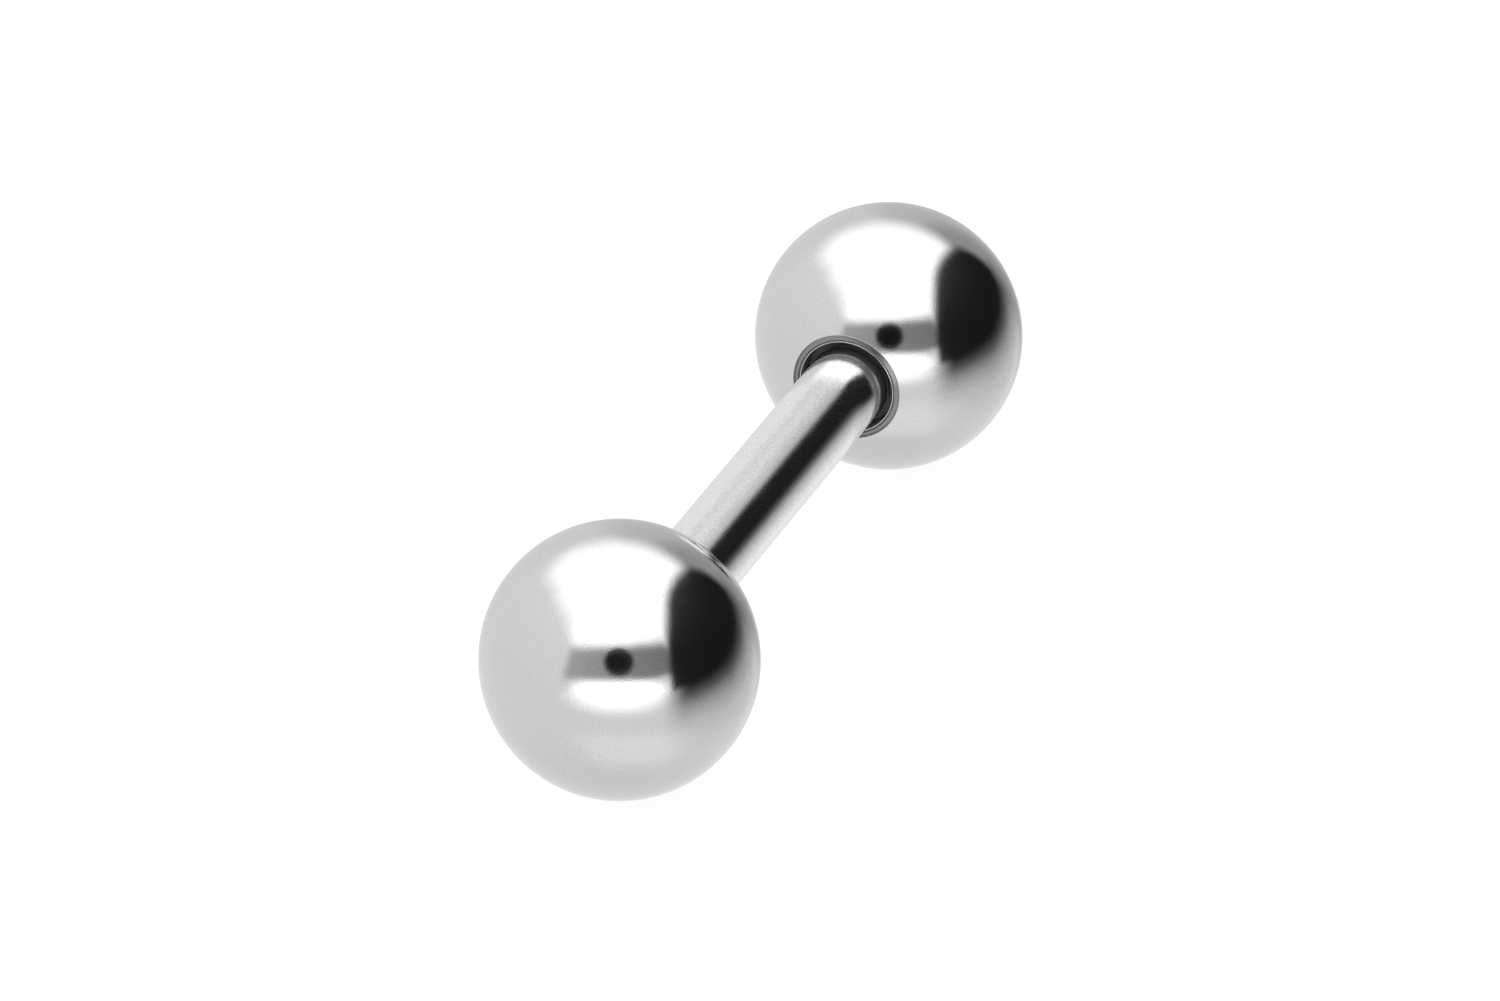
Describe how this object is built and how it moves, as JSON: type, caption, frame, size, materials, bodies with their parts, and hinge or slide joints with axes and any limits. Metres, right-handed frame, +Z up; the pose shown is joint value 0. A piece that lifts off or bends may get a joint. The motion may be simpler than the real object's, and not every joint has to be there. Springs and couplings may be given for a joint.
{
  "type": "piercing barbell",
  "caption": "Straight body piercing barbell: a smooth 14 gauge steel post with a threaded stub at each end and a screw-on polished ball on each stub.",
  "frame": {"origin": "on the surface that it lies on, under the middle of the post", "axes": "+X along the post from the left ball to the right ball, +Z up from the surface"},
  "size_m": [0.0188, 0.005, 0.005],
  "materials": {
    "post_steel": "polished surgical steel with a faint satin grain",
    "ball_steel": "mirror polished surgical steel"
  },
  "bodies": {
    "post": {"post": "post_steel"},
    "left_ball": {"left_ball": "ball_steel"},
    "right_ball": {"right_ball": "ball_steel"}
  },
  "joints": [
    {"name": "left_ball_slide", "type": "slide", "parent": "post", "child": "left_ball", "axis": [-1, 0, 0], "range_m": [0, 0.014]},
    {"name": "right_ball_slide", "type": "slide", "parent": "post", "child": "right_ball", "axis": [1, 0, 0], "range_m": [0, 0.014]}
  ]
}
